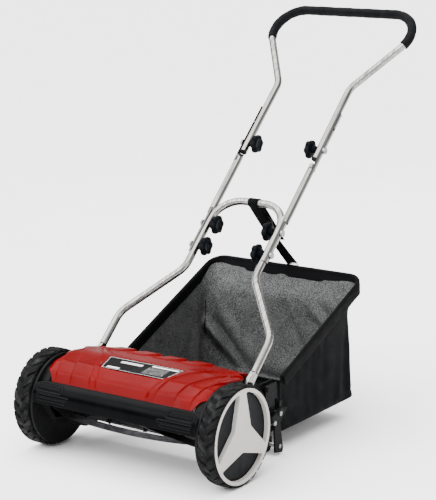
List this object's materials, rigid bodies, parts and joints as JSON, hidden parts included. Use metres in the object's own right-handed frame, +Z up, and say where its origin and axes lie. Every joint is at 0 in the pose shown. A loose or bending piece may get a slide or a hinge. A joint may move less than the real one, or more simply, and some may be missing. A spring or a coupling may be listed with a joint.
{
  "type": "reel mower",
  "caption": "Push reel mower: geared wheels turn a bladed reel against a bed knife under a shell, with a rear roller, folding tube handle and hung grass bag.",
  "frame": {"origin": "on the ground under the middle of the wheel axle line", "axes": "+Z up, the front of the mower faces -Y, +X along the wheel axle"},
  "size_m": [0.554, 1.0252, 0.9592],
  "materials": {
    "red_shell": "glossy moulded red plastic",
    "black_plastic": "satin black moulded plastic",
    "gear_plastic": "natural nylon",
    "window_plastic": "ribbed dark grey plastic",
    "cover_grey": "light grey moulded plastic",
    "tyre_rubber": "moulded rubber with block tread",
    "tube_steel": "nickel-bright drawn steel tube",
    "black_steel": "black powder coat on steel",
    "blade_steel": "ground and painted blade steel",
    "zinc_steel": "bright zinc plated steel",
    "foam": "closed-cell foam, fine pebbled skin",
    "knob_plastic": "dark blue-black moulded plastic",
    "label": "gloss black label with pale outline",
    "bag_cloth": "coarse woven polyester mesh, coated black cloth outside",
    "webbing": "woven black webbing"
  },
  "bodies": {
    "mower": {"side_frame_left": "black_steel", "side_frame_right": "black_steel", "front_guard": "black_plastic", "top_cover": "red_shell", "badge_panel": "label", "end_housing_left": "black_plastic", "end_housing_right": "black_plastic", "gear_cover_left": "black_plastic", "gear_cover_right": "black_plastic", "tie_rods": "black_steel", "knife_bar": "black_steel", "bed_knife": "blade_steel", "knife_screws": "zinc_steel", "wheel_studs": "zinc_steel", "stud_clips": "zinc_steel", "reel_bearings": "black_plastic", "lower_handle": "tube_steel", "mid_tube_left": "tube_steel", "mid_tube_right": "tube_steel", "frame_screws": "zinc_steel", "clamp_bolts": "zinc_steel", "roller_bracket_left": "black_plastic", "roller_bracket_right": "black_plastic", "bag_strap": "webbing", "strap_buckle": "black_plastic"},
    "wheel_left": {"tyre_left": "tyre_rubber", "wheel_rim_left": "black_plastic", "hub_bush_left": "gear_plastic", "ring_gear_left": "gear_plastic", "wheel_cover_left": "cover_grey", "wheel_insert_left": "window_plastic"},
    "wheel_right": {"tyre_right": "tyre_rubber", "wheel_rim_right": "black_plastic", "hub_bush_right": "gear_plastic", "ring_gear_right": "gear_plastic", "wheel_cover_right": "cover_grey", "wheel_insert_right": "window_plastic"},
    "pinion_left": {"pinion_left": "gear_plastic"},
    "pinion_right": {"pinion_right": "gear_plastic"},
    "reel": {"reel_shaft": "zinc_steel", "reel_spiders": "black_steel", "reel_blades": "blade_steel", "drive_pawls": "zinc_steel"},
    "roller_carriage": {"roller_arm_left": "black_plastic", "roller_arm_right": "black_plastic", "roller_axle": "zinc_steel", "carriage_screws": "zinc_steel"},
    "roller": {"rear_roller": "black_plastic"},
    "handle_top": {"upper_handle": "tube_steel", "foam_grip": "foam", "upper_tube_plugs": "black_plastic"},
    "knob_upper_left": {"knob_upper_left": "knob_plastic"},
    "knob_upper_right": {"knob_upper_right": "knob_plastic"},
    "knob_middle_left": {"knob_middle_left": "knob_plastic"},
    "knob_middle_right": {"knob_middle_right": "knob_plastic"},
    "knob_lower_left": {"knob_lower_left": "knob_plastic"},
    "knob_lower_right": {"knob_lower_right": "knob_plastic"},
    "grass_bag": {"bag_fabric": "bag_cloth", "bag_wire": "zinc_steel"}
  },
  "joints": [
    {"name": "wheel_left_spin", "type": "hinge", "parent": "mower", "child": "wheel_left", "pos_m": [-0.2555, 0, 0.1125], "axis": [1, 0, 0], "continuous": true},
    {"name": "wheel_right_spin", "type": "hinge", "parent": "mower", "child": "wheel_right", "pos_m": [0.2555, 0, 0.1125], "axis": [1, 0, 0], "continuous": true},
    {"name": "pinion_left_spin", "type": "hinge", "parent": "mower", "child": "pinion_left", "pos_m": [-0.2425, 0.02989, 0.10988], "axis": [1, 0, 0], "continuous": true},
    {"name": "pinion_right_spin", "type": "hinge", "parent": "mower", "child": "pinion_right", "pos_m": [0.2425, 0.02989, 0.10988], "axis": [1, 0, 0], "continuous": true},
    {"name": "reel_spin", "type": "hinge", "parent": "mower", "child": "reel", "pos_m": [0, 0.02989, 0.10988], "axis": [1, 0, 0], "continuous": true},
    {"name": "roller_height", "type": "slide", "parent": "mower", "child": "roller_carriage", "axis": [0, 0, 1], "range_m": [0, 0.03]},
    {"name": "roller_spin", "type": "hinge", "parent": "roller_carriage", "child": "roller", "pos_m": [0, 0.222, 0.021], "axis": [1, 0, 0], "continuous": true},
    {"name": "handle_fold", "type": "hinge", "parent": "mower", "child": "handle_top", "pos_m": [0, 0.58442, 0.64176], "axis": [1, 0, 0], "range_deg": [0, 150]},
    {"name": "knob_upper_left_turn", "type": "hinge", "parent": "mower", "child": "knob_upper_left", "pos_m": [-0.07, 0.58442, 0.64176], "axis": [-1, 0, 0], "continuous": true},
    {"name": "knob_upper_right_turn", "type": "hinge", "parent": "mower", "child": "knob_upper_right", "pos_m": [0.07, 0.58442, 0.64176], "axis": [1, 0, 0], "continuous": true},
    {"name": "knob_middle_left_turn", "type": "hinge", "parent": "mower", "child": "knob_middle_left", "pos_m": [-0.07, 0.40531, 0.46879], "axis": [-1, 0, 0], "continuous": true},
    {"name": "knob_middle_right_turn", "type": "hinge", "parent": "mower", "child": "knob_middle_right", "pos_m": [0.07, 0.40531, 0.46879], "axis": [1, 0, 0], "continuous": true},
    {"name": "knob_lower_left_turn", "type": "hinge", "parent": "mower", "child": "knob_lower_left", "pos_m": [-0.07, 0.35927, 0.42433], "axis": [-1, 0, 0], "continuous": true},
    {"name": "knob_lower_right_turn", "type": "hinge", "parent": "mower", "child": "knob_lower_right", "pos_m": [0.07, 0.35927, 0.42433], "axis": [1, 0, 0], "continuous": true},
    {"name": "bag_lift", "type": "slide", "parent": "mower", "child": "grass_bag", "axis": [0, 0, 1], "range_m": [0, 0.08], "deforming": ["bag_strap"]}
  ],
  "couplings": [
    {"joint": "pinion_left_spin", "follows": "wheel_left_spin", "ratio": 4.0769},
    {"joint": "pinion_right_spin", "follows": "wheel_right_spin", "ratio": 4.0769},
    {"joint": "reel_spin", "follows": "wheel_right_spin", "ratio": 4.0769}
  ]
}
